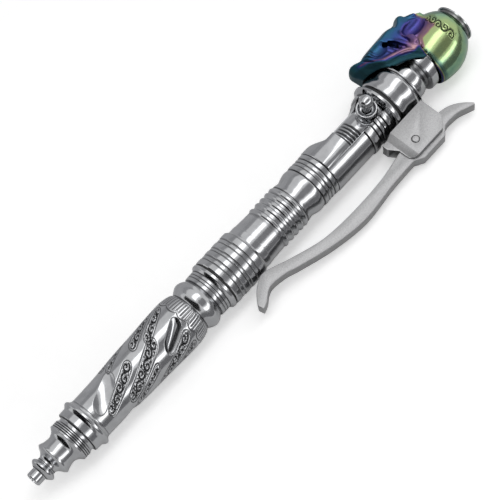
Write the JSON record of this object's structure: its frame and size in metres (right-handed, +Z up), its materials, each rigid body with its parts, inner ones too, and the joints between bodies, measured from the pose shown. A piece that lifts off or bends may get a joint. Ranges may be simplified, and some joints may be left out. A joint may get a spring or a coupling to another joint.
{
  "type": "bolt action pen",
  "caption": "Turned steel bolt action ballpoint pen with a spiral engraved grip, ringed barrel, side bolt knob, sprung clip lever and a heat-coloured skull finial.",
  "frame": {"origin": "on the surface that the pen lies on, under the middle of its box", "axes": "+X along the pen from its writing tip to its skull, +Z up, clip on the -Y side"},
  "size_m": [0.1396, 0.027, 0.0175],
  "materials": {
    "polished_steel": "mirror polished stainless steel with darkened engraving",
    "satin_steel": "fine satin, bead blasted",
    "spring_steel": "drawn wire and plain turned steel",
    "black_ring": "satin black rubber",
    "refill_brass": "turned brass",
    "refill_plastic": "moulded plastic",
    "heat_coloured_titanium": "polished titanium with heat colours from gold green to teal, blue and violet"
  },
  "bodies": {
    "barrel": {"nose_cone": "polished_steel", "front_barrel": "polished_steel", "joint_ring": "black_ring", "mid_barrel": "polished_steel", "rear_barrel": "polished_steel", "seal_ring": "black_ring", "collar": "polished_steel", "neck_post": "polished_steel", "return_spring": "spring_steel", "clip_housing": "satin_steel", "clip_pin": "satin_steel", "clip_spring": "spring_steel", "clip_screw_front": "spring_steel", "clip_screw_back": "spring_steel", "skull": "heat_coloured_titanium", "finial_washer": "black_ring", "finial_button": "polished_steel", "finial_stud": "spring_steel"},
    "refill": {"refill_ball": "spring_steel", "refill_tip": "refill_brass", "refill_tube": "spring_steel", "refill_plug": "refill_plastic"},
    "bolt": {"bolt_body": "polished_steel", "bolt_boss": "polished_steel", "bolt_knob": "polished_steel"},
    "clip": {"clip_lever": "satin_steel"}
  },
  "joints": [
    {"name": "bolt_slide", "type": "slide", "parent": "barrel", "child": "refill", "axis": [-1, 0, 0], "range_m": [0, 0.0055], "stiffness_N_per_m": 150, "springref_m": -0.004, "deforming": ["return_spring"]},
    {"name": "bolt_turn", "type": "hinge", "parent": "refill", "child": "bolt", "pos_m": [0.03735, 0.00226, 0.00685], "axis": [-1, 0, 0], "range_deg": [0, 12]},
    {"name": "clip_pivot", "type": "hinge", "parent": "barrel", "child": "clip", "pos_m": [0.03965, -0.00907, 0.00354], "axis": [0, -0.2799, 0.96], "range_deg": [0, 7], "stiffness_Nm_per_rad": 0.9, "springref_deg": -5.73, "deforming": ["clip_spring"]}
  ]
}
